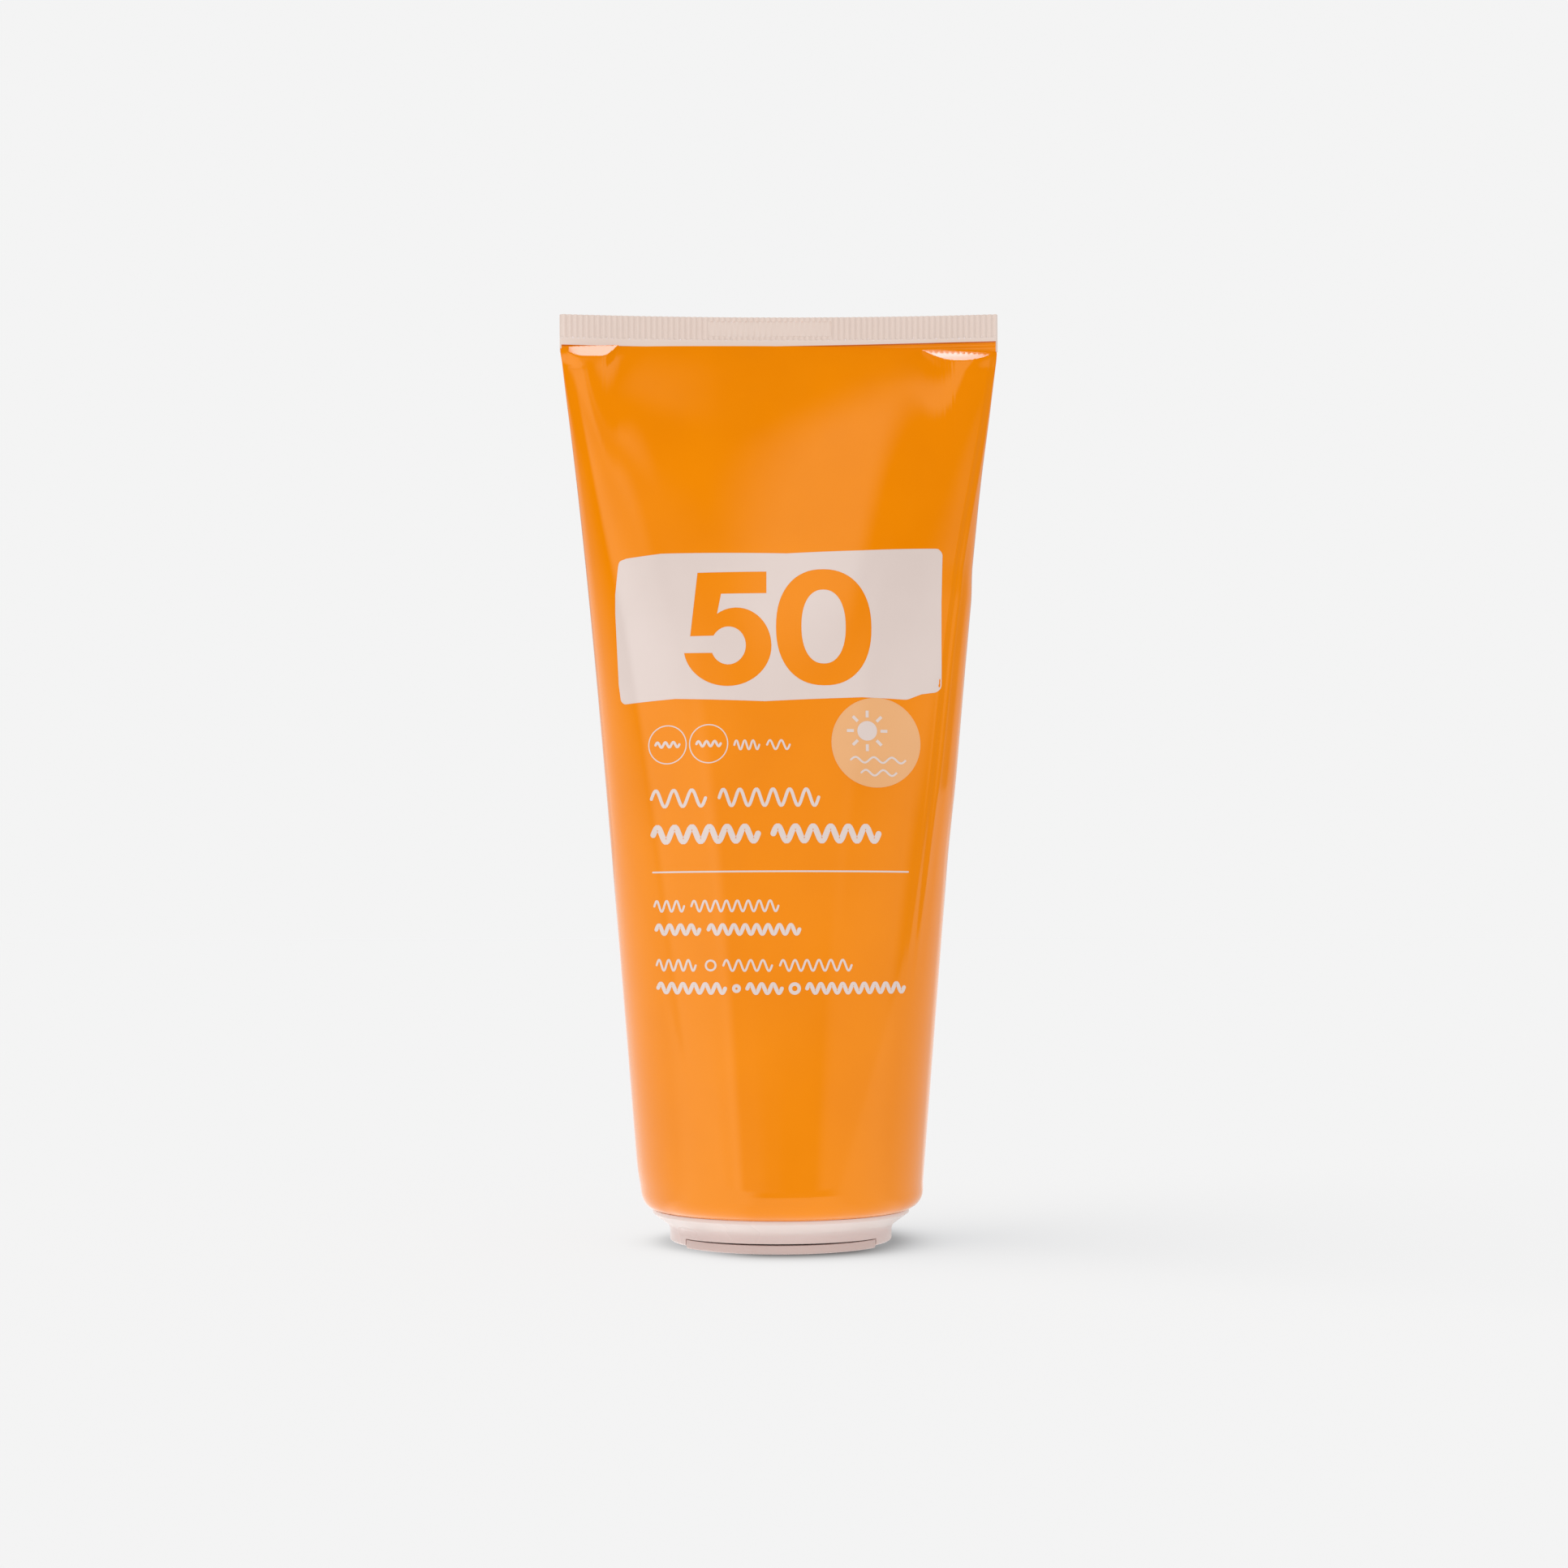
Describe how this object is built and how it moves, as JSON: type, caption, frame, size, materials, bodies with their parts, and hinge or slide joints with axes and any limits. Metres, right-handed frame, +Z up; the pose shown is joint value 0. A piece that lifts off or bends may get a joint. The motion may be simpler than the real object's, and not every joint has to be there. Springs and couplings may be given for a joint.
{
  "type": "sunscreen squeeze tube",
  "caption": "Round plastic squeeze tube with a flattened, ribbed crimp at the top, standing upright on a low flip-top cap with a hinged flush lid.",
  "frame": {"origin": "on the surface that the tube stands on, under the middle of the tube", "axes": "+Z up from the cap to the crimp, -Y to the printed front and the lid's lip, +Y to the hinge, +X to the right as seen from the front"},
  "size_m": [0.0772, 0.0502, 0.1635],
  "materials": {
    "printed_sleeve": "glossy printed polyethylene sleeve, with a pale unprinted crimp",
    "natural_head": "natural polyethylene",
    "cream": "thick cream",
    "pale_cap": "satin moulded polypropylene"
  },
  "bodies": {
    "tube": {"tube_sleeve": "printed_sleeve", "tube_head": "natural_head", "cream_fill": "cream", "cap_base": "pale_cap", "hinge_film": "pale_cap", "hinge_strap_left": "pale_cap", "hinge_strap_right": "pale_cap"},
    "lid": {"flip_lid": "pale_cap"}
  },
  "joints": [
    {"name": "lid_hinge", "type": "hinge", "parent": "tube", "child": "lid", "pos_m": [0, 0.01808, 0.00165], "axis": [1, 0, 0], "range_deg": [0, 150], "deforming": ["hinge_film", "hinge_strap_left", "hinge_strap_right"]}
  ]
}
